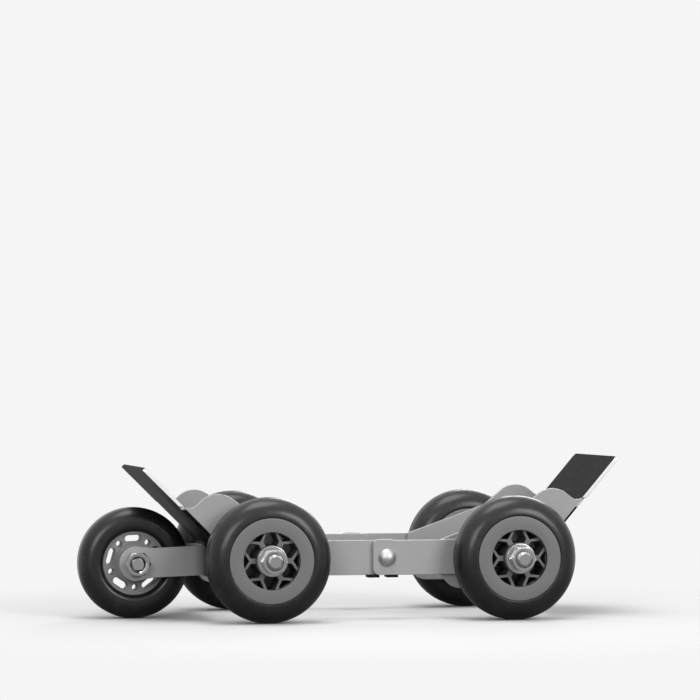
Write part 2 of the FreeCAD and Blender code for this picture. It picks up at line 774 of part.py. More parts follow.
def make_cradle_plate(end):
    """Bent plate across the dolly: foot flange, sloping back and a tongue with two rounded corners."""
    name = f"{end}_cradle_plate"
    sign = ENDS[end]
    thickness = s.cradle_thickness
    half_bend = (RIGHT_ANGLE - slope[end]) / 2
    tip_x, tip_z = tip[end]
    strip = [
        (s.flange_x, flange_bottom), (flange_outer, flange_bottom),
        (flange_outer, s.bend_height - thickness * tangent(half_bend), s.bend_radius),
        (tip_x + thickness * sine(slope[end]), tip_z - thickness * cosine(slope[end])),
        (tip_x, tip_z), (s.flange_x, s.bend_height, s.bend_radius + thickness)]
    bent = padded(f"{name}_strip", "XZ_Plane", [(sign * x, z) + tuple(rest) for x, z, *rest in strip],
                  s.plate_gap * 2, symmetric=True)
    low = flange_bottom - s.overrun
    shoulder = ear[end][1] + s.shoulder_gap
    face = [
        (-plate_inner, low), (plate_inner, low), (plate_inner, shoulder), (plate_outer, shoulder),
        (plate_outer, tip_z, s.tongue_corner_round), (-plate_outer, tip_z, s.tongue_corner_round),
        (-plate_outer, shoulder), (-plate_inner, shoulder)]
    front_view = padded(f"{name}_face", "YZ_Plane", face, s.wheelbase * 4, symmetric=True)
    plate = joined("Common", f"{name}_blank", bent, front_view)
    if end == "front":
        plate = drilled(name, plate, fork_holes(name, -flange_outer - s.fork_thickness))
    keep(name, plate)


def make_lap(side):
    """Dome-head bolt through the lapped bars, with a keeper, a washer and a nut on the inside."""
    sign = SIDES[side]
    radius = s.lap_bolt_diameter / 2
    dome = s.dome_diameter / 2
    rise = s.dome_height - s.dome_rim
    dome_sphere = (dome * dome + rise * rise) / 2 / rise
    washer_y = plate_inner - s.keeper_thickness
    nut_y = washer_y - s.lap_washer_thickness
    length = lap_outer - nut_y + s.lap_nut_height + s.lap_bolt_end
    bolt = turned(f"{side}_lap_bolt", [
        (0, -s.dome_height), (0, length), (radius, length), (radius, 0), (dome, 0),
        (dome, -s.dome_rim, None, -dome_sphere)])
    keep(f"{side}_lap_bolt", facing(bolt, -sign), 0, sign * lap_outer, axle_height)
    washer = ring(f"{side}_lap_washer", lap_bore, s.lap_washer_diameter / 2, s.lap_washer_thickness)
    keep(f"{side}_lap_washer", facing(washer, -sign), 0, sign * washer_y, axle_height)
    lap_nut = nut(f"{side}_lap_nut", s.lap_hex, radius + s.seat_gap, s.lap_nut_height)
    keep(f"{side}_lap_nut", facing(lap_nut, -sign), 0, sign * nut_y, axle_height)
    make_keeper(side)


def make_keeper(side):
    """Backing plate with two lips that lie under both bars, so that the halves can't fold."""
    name = f"{side}_lap_keeper"
    sign = SIDES[side]
    half = s.lip_width + s.lip_gap / 2
    low = bar_bottom - s.lip_thickness
    high = low + s.keeper_height
    gap = s.lip_gap / 2
    middle = s.keeper_middle
    outline = [
        (middle - half, low), (middle - gap, low), (middle - gap, bar_bottom), (middle + gap, bar_bottom),
        (middle + gap, low), (middle + half, low), (middle + half, high, s.keeper_round),
        (middle - half, high, s.keeper_round)]
    lips_out = lap_outer - plate_inner + s.keeper_thickness
    blank = padded(f"{name}_outline", "XZ_Plane", outline, lips_out, [(as_size(0), axle_height, lap_bore)])
    room = padded(f"{name}_room", "XZ_Plane", [
        (middle - half - s.overrun, bar_bottom), (middle + half + s.overrun, bar_bottom),
        (middle + half + s.overrun, high + s.overrun), (middle - half - s.overrun, high + s.overrun)],
        lips_out - s.keeper_thickness)
    place(room, y=s.keeper_thickness if sign > 0 else 0)
    bent = joined("Cut", f"{name}_bent", blank, room)
    keep(name, bent, 0, plate_inner - s.keeper_thickness if sign > 0 else -lap_outer)


for end in ENDS:
    for side in SIDES:
        make_load_wheel(end, side)
make_lead_wheel()
make_lead_fork()
make_fork_fasteners()
for end in ENDS:
    make_cradle_plate(end)
for side in SIDES:
    make_front_plate(side)
    make_rear_plate(side)
    make_lap(side)
doc.recompute()

for item in doc.Objects:
    if "Invalid" in item.State or "Error" in item.State:
        raise RuntimeError(f"{item.Label} failed: {item.State}")
for name, item in pieces.items():
    if item.Shape.isNull() or not item.Shape.isValid():
        raise RuntimeError(f"{name} has no valid shape")
os.makedirs("parts", exist_ok=True)
for name, item in pieces.items():
    item.Shape.exportStep(os.path.join("parts", f"{name}.step"))
print(len(pieces), "pieces written")
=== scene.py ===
"""Finishes a low five-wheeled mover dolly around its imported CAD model.

Lengths are in metres. Front is the end with the lead wheel, at -X, and left is -Y.
"""

import json
import math

import bmesh
import bpy
from bpy.props import FloatProperty, FloatVectorProperty, IntProperty, PointerProperty
from mathutils import Euler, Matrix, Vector


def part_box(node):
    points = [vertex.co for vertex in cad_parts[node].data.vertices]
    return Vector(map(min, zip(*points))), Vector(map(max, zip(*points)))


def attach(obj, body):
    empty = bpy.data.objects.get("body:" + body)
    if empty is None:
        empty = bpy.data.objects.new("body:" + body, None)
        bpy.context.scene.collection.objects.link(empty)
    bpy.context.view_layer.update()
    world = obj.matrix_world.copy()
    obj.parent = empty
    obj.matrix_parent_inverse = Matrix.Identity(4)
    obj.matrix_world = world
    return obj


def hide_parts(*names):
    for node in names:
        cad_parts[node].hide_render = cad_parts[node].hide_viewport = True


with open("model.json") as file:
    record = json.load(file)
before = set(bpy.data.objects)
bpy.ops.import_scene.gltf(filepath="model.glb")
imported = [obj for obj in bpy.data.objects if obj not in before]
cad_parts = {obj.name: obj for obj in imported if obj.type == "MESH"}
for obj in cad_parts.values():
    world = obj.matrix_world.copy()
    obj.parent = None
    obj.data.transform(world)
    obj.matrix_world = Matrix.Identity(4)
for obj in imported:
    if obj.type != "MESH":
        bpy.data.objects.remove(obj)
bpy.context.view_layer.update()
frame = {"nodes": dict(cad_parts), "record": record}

bl_info = {
    "name": "Mover Dolly Finish",
    "version": (1, 0, 0),
    "blender": (4, 5, 0),
    "location": "View3D > Sidebar > Dolly",
    "description": "Rounds, threads, welds and paints the mover dolly and sets its stage",
    "category": "Object",
}

MM = 0.001
CORNERS = ["front_left", "front_right", "rear_left", "rear_right"]
ENDS = {"front": -1, "rear": 1}
SIDES = {"left": -1, "right": 1}

# Rounded copies: edges over the sharp angle are rounded, and lesser ones over the crease angle are creased.
MERGE_DISTANCE = 1e-6
FLAT_ANGLE = math.radians(0.4)
CREASE_ANGLE = math.radians(30)
SHARP_ANGLE = math.radians(60)

# Turned pieces: edges over these angles are shaded sharp, and a round takes up to this share of a side.
TURNED_ANGLE = math.radians(40)
HEX_ANGLE = math.radians(24)
TURNED_STEPS = 96
ROUND_SHARE = 0.45

# Tyres: shares of the crown, the lip and the mould line, and arcs by their first and last angle.
CROWN_SHARE = 0.975
LIP_BLEND = 0.6
LIP_ARC = (-70, 0)
LIP_STEPS = 5
SHOULDER_ARC = (4, 84)
FLASH_FOOT = 1.6
FLASH_TOP = 0.4

# Star hubs: factors that carry the star into the ring and the boss, and the steps of its outlines.
WINDOW_REACH = 1.12
DISC_REACH = 1.15
STEM_FOOT = 0.96
DISC_BORE = 0.9
DISC_STEPS = 144
CORNER_STEPS = 4

# Fasteners: sizes and shares that the boxes of the CAD nodes don't give.
AXLE_SHANK = 6 * MM
AXLE_HEAD = 7.5 * MM
AXLE_FLANK = 9 * MM
AXLE_THREAD = 3 * MM
CHAMFER_SHARE = 0.8
LAP_SHANK = 4 * MM
LAP_THREAD = 2.2 * MM
LAP_CHAMFER = 0.5 * MM
DOME_RISE = 4.2 * MM
DOME_RIM = 0.8 * MM
DOME_STEPS = 12
NUT_PLAY = 0.02 * MM
WASHER_PLAY = 0.1 * MM
HEAD_OVERLAP = 1 * MM

# Hexagons: the chamfer's slope, the face's and the countersink's shares, and a bevel on the rim.
HEX_SIDES = 6
HEX_CHAMFER = math.tan(math.radians(27))
HEX_FLAT = 0.985
COUNTERSINK = 0.18
RIM_BEVEL = 0.1 * MM
RIM_DROP = 0.03 * MM

# Threads: the core's depth by the ridge's, and the share of a ridge that lies below the chamfer.
THREAD_TURNS = 2.0
THREAD_STEPS = 48
THREAD_SIDES = 4
THREAD_CORE = 1.9
THREAD_REACH = 0.96
THREAD_RUNOUT = 0.4 * MM

# Welds: a bead's distance from the faces that it joins, its start above the flange, and its unevenness.
WELD_OFFSET = 0.4 * MM
WELD_START = 2 * MM
WELD_BEND_STEPS = 8
WELD_UNEVEN = (0.88, 1.1)
WELD_OVERLAP = 0.95

# Paint and zinc: how far below the ears' tops the cut edges' painted highlight starts, and how dull the zinc
# is.
BRIGHT_EDGE_DROP = 13 * MM
BRIGHT_EDGE_FADE = 1 * MM
BRIGHT_ZINC = 0.1
SATIN_ZINC = 0.4

# Stage: the camera is placed from the middle of the load wheels, and a lamp has a place, a size and a power.
IMAGE_PIXELS = 700
FOCAL_PIXELS = 3166.84
SENSOR_MM = 36.0
CAMERA_FROM_WHEELS = Vector((-0.56738, -2.55262, 0.18647))
CAMERA_YAW = math.radians(12.17)
CAMERA_PITCH = math.radians(0.69)
FLOOR_REACH = 12.0
FLOOR_FADE = (0.23, 0.5)
SKY_FADE = (-0.1, 0.9)
ROOM_FADE = (-0.75, 0.35)
CEILING_FADE = (0.25, 0.7)
LAMP_TARGET = Vector((0, 0, 0.05))
LAMPS = {
    "overhead": ((-0.1, -0.2, 1.6), 0.9, 11.5),
    "front": ((1.1, -2.15, 0.95), 1.0, 26.0),
    "fill": ((-1.2, -2.2, 0.9), 1.0, 18.0),
    "rim": ((1.0, 2.2, 1.2), 1.0, 15.0),
}


# Settings


def colour_setting(name, description, default):
    """A colour that the user may change."""
    return FloatVectorProperty(name=name, description=description, default=default, subtype="COLOR",
                               size=3, min=0, max=1)


def length_setting(name, description, millimetres):
    """A length that the user may change."""
    return FloatProperty(name=name, description=description, default=millimetres * MM, unit="LENGTH",
                         subtype="DISTANCE", min=0, precision=5)


def angle_setting(name, description, degrees):
    """An angle that the user may change."""
    return FloatProperty(name=name, description=description, default=math.radians(degrees), unit="ROTATION",
                         subtype="ANGLE")


class DollySizes(bpy.types.PropertyGroup):
    """Small forms that the finish gives to the CAD shapes."""
    plate_round: length_setting("Plate edge", "Radius of the plates' dulled edges", 0.55)
    mould_round: length_setting("Moulded edge", "Radius of the lead hub's moulded edges", 0.35)
    ring_round: length_setting("Hub ring edge", "Radius of the hub ring's edges", 0.8)
    rib_round: length_setting("Rib edge", "Radius of the star's moulded edges", 0.35)
    turned_round: length_setting("Turned edge", "Radius of the edges of washers, spacers and bosses", 0.3)
    tyre_steps: IntProperty(name="Wheel steps", description="Steps round a wheel", default=192, min=24)
    section_steps: IntProperty(name="Section steps", description="Steps over half a tread", default=20, min=4)
    bore_round: length_setting("Tyre lip", "Radius of the tyre's lip beside the hub", 0.9)
    flash_height: length_setting("Mould line", "Height of the mould's line on the tread", 0.2)
    flash_width: length_setting("Mould line width", "Width of the mould's line", 0.8)
    ring_bore: length_setting("Hub ring bore", "Radius of the ring's opening", 22.71)
    boss: length_setting("Boss", "Radius of the hub's boss", 12.5)
    boss_bore: length_setting("Boss bore", "Radius of the hub's bore", 10.17)
    star_inset: length_setting("Star inset", "Depth of the star behind the ring's face", 4.2)
    stem_width: length_setting("Stem width", "Width of a spoke beside the boss", 4.4)
    stem_end: length_setting("Stem end", "Radius at which a spoke forks", 16.38)
    window_root: length_setting("Fork root", "Radius of the inner corner of a small window", 17.6)
    window_round: length_setting("Window corner", "Radius of the windows' corners", 0.8)
    large_window: angle_setting("Large window", "Half the large windows' angle at the ring", 7.6)
    small_window: angle_setting("Small window", "Half the small windows' angle at the ring", 15.8)
    star_points: IntProperty(name="Spokes", description="Spokes of the star", default=6, min=3)
    thread_depth: FloatProperty(name="Thread depth", description="Height of a thread by the bolt's radius",
                                default=0.05, min=0)
    thread_pitch: FloatProperty(name="Thread pitch", description="Rise of a thread by the bolt's radius",
                                default=0.29, min=0.01)
    bolt_chamfer: length_setting("Bolt chamfer", "Chamfer on the ends of the axle bolts", 1.5)
    weld_leg: length_setting("Weld leg", "Radius of the weld beads", 2.2)
    weld_step: length_setting("Weld step", "Distance between the ripples of a weld", 1.6)
    flange: length_setting("Foot flange", "Distance of the foot flanges from the middle of the wheels", 134.6)
    flange_bottom: length_setting("Flange bottom", "Height of the foot flanges' lower edges", 33.0)
    bend: length_setting("Bend", "Height of the cradle plates' bend", 62.0)
    bend_round: length_setting("Bend radius", "Radius of the weld beads' bend", 8.0)
    front_slope: angle_setting("Front slope", "Slope of the front cradle plate", 44.8)
    rear_slope: angle_setting("Rear slope", "Slope of the rear cradle plate", 49.5)
    weld_top: length_setting("Weld top", "Height of the welds' upper ends", 84.0)


class DollyColours(bpy.types.PropertyGroup):
    """Colours of the finishes and of the stage."""
    rubber: colour_setting("Rubber", "Solid rubber of the tyres", (0.0085, 0.0085, 0.0088))
    dust: colour_setting("Dust", "Fine dust on the rubber", (0.05, 0.049, 0.047))
    paint: colour_setting("Frame paint", "Light grey powder coat", (0.355, 0.355, 0.357))
    cradle: colour_setting("Cradle paint", "Black powder coat", (0.011, 0.011, 0.0112))
    # Near-white cut edges: bare metal with a painted highlight in this colour.
    bare_edge_with_highlight: colour_setting("Cut edge", "Bright cut edges of the cradle plates", (0.86, 0.86, 0.86))
    zinc: colour_setting("Zinc", "Bright zinc plate", (0.6, 0.603, 0.6))
    zinc_tint: colour_setting("Passivation", "Faint tint of the passivated zinc", (0.53, 0.545, 0.538))
    hub: colour_setting("Hub plastic", "Moulded hub plastic", (0.158, 0.158, 0.159))
    lead_hub: colour_setting("Lead hub plastic", "Moulded disc of the lead wheel", (0.25, 0.25, 0.251))
    nylon: colour_setting("Nylon", "Turned nylon of the bushes", (0.74, 0.72, 0.66))
    floor: colour_setting("Floor", "Plain pale floor", (0.72, 0.72, 0.72))
    floor_bounce: colour_setting("Floor bounce", "Light that the floor throws back", (0.24, 0.24, 0.24))
    backdrop: colour_setting("Backdrop", "Pale background", (0.915, 0.915, 0.915))
    sky_low: colour_setting("Low light", "Soft light from below", (0.22, 0.22, 0.22))
    sky_high: colour_setting("High light", "Soft light from above", (0.72, 0.72, 0.72))
    room: colour_setting("Room", "Reflection of the room behind the camera", (0.42, 0.42, 0.42))
    ceiling: colour_setting("Ceiling", "Reflection of the bright ceiling", (1.0, 1.0, 1.0))


def settings():
    """The two groups of settings on the scene."""
    scene = bpy.context.scene
    return scene.dolly_sizes, scene.dolly_colours


# Node expressions


class Wire:
    """One output socket in a node tree; sums on it become Math nodes."""

    def __init__(self, tree, socket=None):
        self.tree = tree
        self.socket = socket

    def node(self, kind, options=None, sockets=None, output=0):
        """Adds a node: its options first, then the values or links of its sockets, by name or number."""
        made = self.tree.nodes.new(kind)
        for name, value in (options or {}).items():
            if name == "items":  # choices of an Index Switch
                while len(made.index_switch_items) < value:
                    made.index_switch_items.new()
            else:
                setattr(made, name, value)
        for name, value in (sockets or {}).items():
            for item in value if isinstance(value, list) else [value]:
                if isinstance(item, Wire):
                    self.tree.links.new(item.socket, made.inputs[name])
                else:
                    made.inputs[name].default_value = item
        return Wire(self.tree, made.outputs[output] if made.outputs else None)

    def maths(self, operation, first, second=0.0):
        return self.node("ShaderNodeMath", {"operation": operation}, {0: first, 1: second})

    def __add__(self, other):
        return self.maths("ADD", self, other)

    __radd__ = __add__

    def __sub__(self, other):
        return self.maths("SUBTRACT", self, other)

    def __rsub__(self, other):
        return self.maths("SUBTRACT", other, self)

    def __mul__(self, other):
        return self.maths("MULTIPLY", self, other)

    __rmul__ = __mul__

    def __truediv__(self, other):
        return self.maths("DIVIDE", self, other)

    def __rtruediv__(self, other):
        return self.maths("DIVIDE", other, self)

    def __abs__(self):
        return self.maths("ABSOLUTE", self)

    def sine(self):
        return self.maths("SINE", self)

    def cosine(self):
        return self.maths("COSINE", self)

    def at(self, x, y, z=0.0):
        """A vector from three values."""
        return self.node("ShaderNodeCombineXYZ", {}, {0: x, 1: y, 2: z})

    def part(self, axis):
        """X, Y or Z of this vector."""
        return self.node("ShaderNodeSeparateXYZ", {}, {0: self}, axis)

    def ramp(self, low, high):
        """0 below low, 1 above high and a smooth step between them."""
        return self.node("ShaderNodeMapRange", {"interpolation_type": "SMOOTHSTEP"},
                         {"Value": self, "From Min": low, "From Max": high})

    def mix(self, first, second):
        """Colour that goes from the first to the second as this value goes from 0 to 1."""
        return self.node("ShaderNodeMix", {"data_type": "RGBA"}, {0: self, 6: first, 7: second}, 2)

    def bump(self, strength, distance, normal=None):
        """Normal that shows this value as height."""
        sockets = {"Strength": strength, "Distance": distance, "Height": self}
        if normal:
            sockets["Normal"] = normal
        return self.node("ShaderNodeBump", {}, sockets)


def rgba(colour, gain=1.0):
    """A colour setting with an opacity, made lighter or darker by a gain."""
    return tuple(min(1.0, channel * gain) for channel in colour) + (1.0,)


# Finishes


class Finish:
    """A new material with its object coordinates, noise and surface shader."""

    def __init__(self, name):
        self.material = bpy.data.materials.new(name)
        self.material.use_nodes = True
        tree = self.material.node_tree
        tree.nodes.clear()
        self.start = Wire(tree)
        self.place = self.start.node("ShaderNodeTexCoord", output="Object")

    def facing(self):
        """How squarely the surface faces along Y, from 0 to 1."""
        return abs(self.start.node("ShaderNodeTexCoord", output="Normal").part("Y"))

    def noise(self, scale=1.0, detail=3.0, roughness=0.55, place=None):
        """Noise whose grains are about 1 / scale metres across."""
        return self.start.node("ShaderNodeTexNoise", {}, {
            "Vector": place or self.place, "Scale": scale, "Detail": detail, "Roughness": roughness})

    def streaks(self, xz, y, detail, roughness):
        """Noise drawn out along Y or round it: y is its scale along Y, and xz its scale the other ways."""
        place = self.start.node("ShaderNodeMapping", {}, {"Vector": self.place, "Scale": (xz, y, xz)})
        return self.noise(detail=detail, roughness=roughness, place=place)

    def surface(self, **sockets):
        """Closes the material with a Principled shader and its output."""
        named = {name.replace("_", " ").title().replace("Ior", "IOR"): value
                 for name, value in sockets.items()}
        shader = self.start.node("ShaderNodeBsdfPrincipled", {}, named)
        self.start.node("ShaderNodeOutputMaterial", {}, {"Surface": shader})


def make_rubber(finish, colours):
    """Dark rubber with a thin gloss, cloudy wear and a little dust."""
    cloud = finish.noise(scale=38, detail=4)
    specks = finish.noise(scale=140, detail=5, roughness=0.65).ramp(0.5, 0.78)
    dust = specks * 0.3 + cloud.ramp(0.45, 0.8) * 0.18
    pores = finish.noise(scale=2600, detail=2)
    scuffs = finish.streaks(xz=60, y=420, detail=4, roughness=0.6).ramp(0.56, 0.74)
    worn = scuffs.bump(strength=0.08, distance=0.08 * MM)
    finish.surface(
        base_color=dust.mix(rgba(colours.rubber), rgba(colours.dust)),
        roughness=cloud * 0.14 + scuffs * 0.1 + 0.32,
        specular_ior_level=0.3,
        coat_weight=0.34 - scuffs * 0.12,
        coat_roughness=0.2,
        normal=pores.bump(strength=0.1, distance=0.05 * MM, normal=worn))


def make_frame_paint(finish, colours):
    """Light grey powder coat: a fine orange peel, a faint cloudiness and tiny paler specks."""
    peel = finish.noise(scale=900, detail=2, roughness=0.45)
    cloud = finish.noise(scale=26)
    specks = finish.noise(scale=3200, detail=1).ramp(0.62, 0.72)
    tone = cloud * 0.6 + specks * 0.25
    finish.surface(
        base_color=tone.mix(rgba(colours.paint, 0.96), rgba(colours.paint, 1.05)),
        roughness=cloud * 0.08 + peel * 0.06 + 0.36,
        coat_weight=0.45,
        coat_roughness=0.14,
        normal=peel.bump(strength=0.1, distance=0.05 * MM))


def make_cradle_paint(finish, colours):
    """Black powder coat, rubbed grey in places; the cut edges above the ears are bare metal with a near-white
    painted highlight.
    """
    bright_edge_from = min(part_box(f"{end}_left_side_plate")[1].z for end in ENDS) - BRIGHT_EDGE_DROP
    peel = finish.noise(scale=900, detail=2, roughness=0.45)
    cloud = finish.noise(scale=30, detail=4)
    rubbed = finish.streaks(xz=220, y=26, detail=5, roughness=0.65).ramp(0.5, 0.78)
    # Painted highlight: cut edges that face along Y take the near-white edge colour above a height just below
    # the ears' tops; lower down they keep the black paint.
    high = finish.place.part("Z").ramp(bright_edge_from, bright_edge_from + BRIGHT_EDGE_FADE)
    edge = finish.facing().ramp(0.5, 0.75) * high
    bare_with_highlight = edge * (1 - finish.noise(scale=420).ramp(0.6, 0.75) * 0.18)
    painted = (rubbed * 0.7 + cloud * 0.3).mix(rgba(colours.cradle, 0.5), rgba(colours.cradle, 2.2))
    finish.surface(
        base_color=bare_with_highlight.mix(painted, rgba(colours.bare_edge_with_highlight)),
        roughness=cloud * 0.12 + peel * 0.05 + 0.4 - bare_with_highlight * 0.1,
        specular_ior_level=0.03,
        normal=peel.bump(strength=0.12, distance=0.06 * MM))


def make_zinc(finish, colours, dullness):
    """Zinc plate with a faint tint, fine turning marks and dull spots."""
    turned = finish.streaks(xz=90, y=5200, detail=3, roughness=0.5)
    cloud = finish.noise(scale=120, detail=4)
    spots = finish.noise(scale=900).ramp(0.6, 0.75)
    finish.surface(
        base_color=(cloud * 0.9).mix(rgba(colours.zinc), rgba(colours.zinc_tint)),
        metallic=1.0,
        roughness=cloud * 0.12 + spots * 0.1 + dullness,
        normal=turned.bump(strength=0.08, distance=0.03 * MM))


def make_moulded(finish, colours, piece):
    """Moulded plastic with a fine grain, faint flow marks and worn, paler spots; its walls, across Y, are
    darkened by painted shade.
    """
    colour = getattr(colours, piece)
    grain = finish.noise(scale=2100, detail=2)
    flow = finish.streaks(xz=45, y=160, detail=3, roughness=0.5)
    cloud = finish.noise(scale=60, detail=4)
    worn = finish.noise(scale=420, detail=4, roughness=0.65).ramp(0.62, 0.78)
    # Painted shade: surfaces that face across Y, the walls of windows, slots and rings, take 0.4 of the
    # colour.
    face = finish.facing().ramp(0.2, 0.7)
    tone = (flow * 0.45 + cloud * 0.35 + worn * 0.2).mix(rgba(colour, 0.93), rgba(colour, 1.1))
    finish.surface(
        base_color=face.mix(rgba(colour, 0.4), tone),
        roughness=cloud * 0.12 + grain * 0.08 + 0.38,
        normal=grain.bump(strength=0.12, distance=0.05 * MM))


def make_nylon(finish, colours):
    """Turned nylon with fine rings and a warm cloudiness."""
    rings = finish.streaks(xz=60, y=4000, detail=2, roughness=0.5)
    cloud = finish.noise(scale=180)
    finish.surface(
        base_color=cloud.mix(rgba(colours.nylon, 0.9), rgba(colours.nylon, 1.06)),
        roughness=rings * 0.1 + 0.42,
        normal=rings.bump(strength=0.15, distance=0.04 * MM))


# Maker of each finish, and what it takes besides the new finish and the colours.
FINISHES = {
    "tyre_rubber": [make_rubber],
    "frame_paint": [make_frame_paint],
    "cradle_paint": [make_cradle_paint],
    "hub_plastic": [make_moulded, "hub"],
    "lead_hub_plastic": [make_moulded, "lead_hub"],
    "bush_nylon": [make_nylon],
    "zinc_steel": [make_zinc, BRIGHT_ZINC],
    "satin_zinc": [make_zinc, SATIN_ZINC],
}


def material_for(slot):
    """The finish of a slot, or satin zinc, made once and kept under that name."""
    name = f"{slot}_finish"
    if name not in bpy.data.materials:
        make, *choice = FINISHES[slot]
        make(Finish(name), settings()[1], *choice)
    return bpy.data.materials[name]


# Geometry Nodes


class Growth:
    """A new Geometry Nodes tree with named inputs, which ends in realized geometry with a material."""

    def __init__(self, name, inputs):
        self.tree = bpy.data.node_groups.new(name, "GeometryNodeTree")
        self.values = {}
        for way in ("INPUT", "OUTPUT"):
            self.tree.interface.new_socket("Geometry", in_out=way, socket_type="NodeSocketGeometry")
        for label, value in inputs.items():
            kind = {int: "Int", float: "Float", Vector: "Vector"}[type(value)]
            socket = self.tree.interface.new_socket(label, in_out="INPUT", socket_type=f"NodeSocket{kind}")
            self.values[socket.identifier] = value
        self.entry = self.tree.nodes.new("NodeGroupInput")
        self.start = Wire(self.tree)

    def input(self, label):
        return Wire(self.tree, self.entry.outputs[label])

    def index(self):
        return self.start.node("GeometryNodeInputIndex")

    def close(self, geometry, material):
        """Ends the tree: instances become real and take a finish."""
        whole = self.start.node("GeometryNodeRealizeInstances", {}, {0: geometry})
        dressed = self.start.node("GeometryNodeSetMaterial", {}, {"Geometry": whole, "Material": material})
        self.start.node("NodeGroupOutput", {}, {0: dressed})

    def put_on(self, obj):
        """Adds the tree to an object as a modifier and sets its inputs."""
        modifier = obj.modifiers.new(self.tree.name, "NODES")
        modifier.node_group = self.tree
        for identifier, value in self.values.items():
            modifier[identifier] = value


def new_object(name, mesh):
    """Links a mesh to the scene as an object at the origin."""
    made = bpy.data.objects.new(name, mesh)
    bpy.context.scene.collection.objects.link(made)
    return made


def settled(obj):
    """Gives an object the mesh that its modifiers make, and takes the modifiers off."""
    evaluated = obj.evaluated_get(bpy.context.evaluated_depsgraph_get())
    mesh = bpy.data.meshes.new_from_object(evaluated)
    obj.modifiers.clear()
    old = obj.data
    obj.data = mesh
    bpy.data.meshes.remove(old)
    return obj


def star_growth(centre, half, sizes):
    """Tree of the hub's star: a disc with a ring of large and a ring of small windows."""
    grow = Growth("star", {
        "Boss": sizes.boss, "Ring Bore": sizes.ring_bore, "Stem Width": sizes.stem_width,
        "Stem End": sizes.stem_end, "Fork Root": sizes.window_root, "Large Window": sizes.large_window,
        "Small Window": sizes.small_window, "Corner": sizes.window_round,
        "Half Depth": half - sizes.star_inset, "Spokes": sizes.star_points, "Centre": centre})
    start = grow.start
    ring = grow.input("Ring Bore")
    spokes = grow.input("Spokes")
    pitch = math.tau / spokes
    stem = grow.input("Stem Width") * 0.5
    foot = grow.input("Boss") * STEM_FOOT
    fork = grow.input("Stem End")
    root = grow.input("Fork Root")

    def outer(x, y, angle):
        """Point on the line from (x, y) to the ring at an angle, a little way into the ring."""
        return (x + (ring * angle.cosine() - x) * WINDOW_REACH,
                y + (ring * angle.sine() - y) * WINDOW_REACH)

    def mirrored(x, y):
        """A point on the other side of a large window."""
        return x * pitch.cosine() + y * pitch.sine(), x * pitch.sine() - y * pitch.cosine()

    def window(corners):
        """Rounded outline through corners, repeated round the axle."""
        loop = start.node("GeometryNodeMeshCircle", {}, {"Vertices": len(corners)})
        spots = {1 + step: start.at(*corner) for step, corner in enumerate(corners)}
        place = start.node("GeometryNodeIndexSwitch", {"data_type": "VECTOR", "items": len(corners)},
                           {0: grow.index(), **spots})
        moved = start.node("GeometryNodeSetPosition", {}, {"Geometry": loop, "Position": place})
        curve = start.node("GeometryNodeMeshToCurve", {}, {"Mesh": moved})
        soft = start.node("GeometryNodeFilletCurve", {"mode": "POLY"}, {
            "Curve": curve, "Count": CORNER_STEPS, "Radius": grow.input("Corner"), "Limit Radius": True})
        points = start.node("GeometryNodePoints", {}, {"Count": spokes})
        repeated = start.node("GeometryNodeInstanceOnPoints", {}, {
            "Points": points, "Instance": soft, "Rotation": start.at(0.0, 0.0, grow.index() * pitch)})
        return start.node("GeometryNodeRealizeInstances", {}, {0: repeated})

    large_edge = outer(fork, stem, pitch * 0.5 - grow.input("Large Window"))
    large = window([(foot, stem), (fork, stem), large_edge,
                    mirrored(*large_edge), mirrored(fork, stem), mirrored(foot, stem)])
    small = window([(root, 0.0), outer(root, 0.0, grow.input("Small Window") * -1.0),
                    outer(root, 0.0, grow.input("Small Window"))])
    rims = [start.node("GeometryNodeCurvePrimitiveCircle", {"mode": "RADIUS"}, {
                "Resolution": DISC_STEPS, "Radius": radius})
            for radius in (ring * DISC_REACH, grow.input("Boss") * DISC_BORE)]
    outlines = start.node("GeometryNodeJoinGeometry", {}, {0: [large, small] + rims})
    face = start.node("GeometryNodeFillCurve", {"mode": "NGONS"}, {"Curve": outlines})
    depth = grow.input("Half Depth")
    raised = start.node("GeometryNodeExtrudeMesh", {"mode": "FACES"}, {
        "Mesh": face, "Offset Scale": depth * 2.0, "Individual": False})
    under = start.node("GeometryNodeFlipFaces", {}, {"Mesh": face})
    halves = start.node("GeometryNodeJoinGeometry", {}, {0: [raised, under]})
    solid = start.node("GeometryNodeMergeByDistance", {}, {"Geometry": halves, "Distance": MERGE_DISTANCE})
    level = start.node("GeometryNodeTransform", {}, {
        "Geometry": solid, "Translation": start.at(0.0, 0.0, depth * -1.0)})
    upright = start.node("GeometryNodeTransform", {}, {
        "Geometry": level, "Translation": grow.input("Centre"), "Rotation": Euler((math.pi / 2, 0, 0))})
    grow.close(upright, material_for("hub_plastic"))
    return grow


